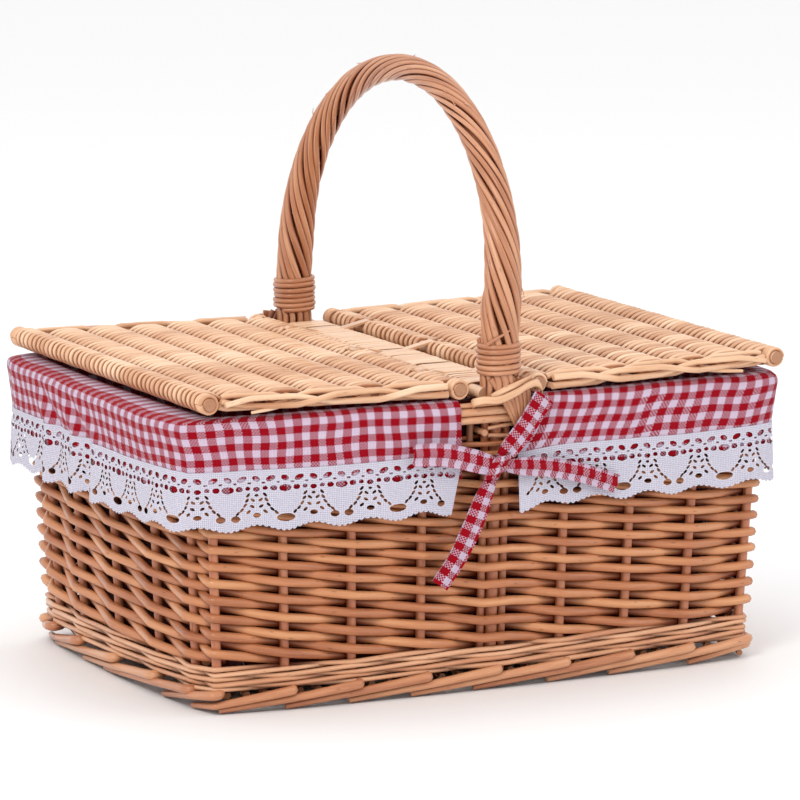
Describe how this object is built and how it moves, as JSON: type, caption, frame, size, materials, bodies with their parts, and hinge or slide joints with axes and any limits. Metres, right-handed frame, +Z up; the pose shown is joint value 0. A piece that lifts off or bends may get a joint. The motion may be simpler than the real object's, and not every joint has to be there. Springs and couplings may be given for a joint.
{
  "type": "wicker picnic basket",
  "caption": "Rectangular willow hamper with two lids hinged on a central bridge, a fixed roped arch handle, a folded-over cloth lining with lace edge and tied straps.",
  "frame": {"origin": "middle of the footprint on the ground", "axes": "+Z up, +X along the basket's length, +Y to the back; the handle's arch stands in the YZ plane"},
  "size_m": [0.4232, 0.3242, 0.3897],
  "materials": {
    "willow_sides": "varnished willow, warm brown",
    "willow_wale": "thin pale willow",
    "willow_handle": "varnished willow, twisted rods",
    "willow_skein": "split willow, smooth",
    "willow_lids": "varnished willow, yellow tan",
    "gingham_cotton": "red and white woven check",
    "cotton_lace": "white cotton bobbin lace"
  },
  "bodies": {
    "basket": {"base_sticks": "willow_sides", "base_weave": "willow_sides", "bridge_band_back": "willow_skein", "bridge_band_front": "willow_skein", "bridge_stick_left": "willow_lids", "bridge_stick_right": "willow_lids", "bridge_wrap": "willow_skein", "corner_posts": "willow_sides", "foot_border": "willow_sides", "handle_bow": "willow_handle", "handle_fan_back": "willow_handle", "handle_fan_front": "willow_handle", "handle_liners_back": "willow_sides", "handle_liners_front": "willow_sides", "handle_roping": "willow_handle", "handle_wrap_back": "willow_handle", "handle_wrap_front": "willow_handle", "hinge_loops_left": "willow_skein", "hinge_loops_right": "willow_skein", "lace_left": "cotton_lace", "lace_right": "cotton_lace", "liner_bag": "gingham_cotton", "liner_skirt_left": "gingham_cotton", "liner_skirt_right": "gingham_cotton", "lower_wale": "willow_wale", "side_weave_back": "willow_sides", "side_weave_front": "willow_sides", "side_weave_left": "willow_sides", "side_weave_right": "willow_sides", "stakes_back": "willow_sides", "stakes_front": "willow_sides", "stakes_left": "willow_sides", "stakes_right": "willow_sides", "tie_knot_back": "gingham_cotton", "tie_knot_front": "gingham_cotton", "tie_loop_back": "gingham_cotton", "tie_loop_front": "gingham_cotton", "tie_strap_back": "gingham_cotton", "tie_strap_front": "gingham_cotton", "top_border_back": "willow_sides", "top_border_front": "willow_sides", "top_border_left": "willow_sides", "top_border_right": "willow_sides"},
    "left_lid": {"left_lid_inner_stick": "willow_lids", "left_lid_outer_stick": "willow_lids", "left_lid_ribs": "willow_lids", "left_lid_weave": "willow_lids", "left_lid_front_edge_rods": "willow_lids", "left_lid_back_edge_rods": "willow_lids"},
    "right_lid": {"right_lid_inner_stick": "willow_lids", "right_lid_outer_stick": "willow_lids", "right_lid_ribs": "willow_lids", "right_lid_weave": "willow_lids", "right_lid_front_edge_rods": "willow_lids", "right_lid_back_edge_rods": "willow_lids"}
  },
  "joints": [
    {"name": "left_lid_hinge", "type": "hinge", "parent": "basket", "child": "left_lid", "pos_m": [-0.028, 0, 0.1955], "axis": [0, 1, 0], "range_deg": [0, 92]},
    {"name": "right_lid_hinge", "type": "hinge", "parent": "basket", "child": "right_lid", "pos_m": [0.028, 0, 0.1955], "axis": [0, -1, 0], "range_deg": [0, 91]}
  ]
}
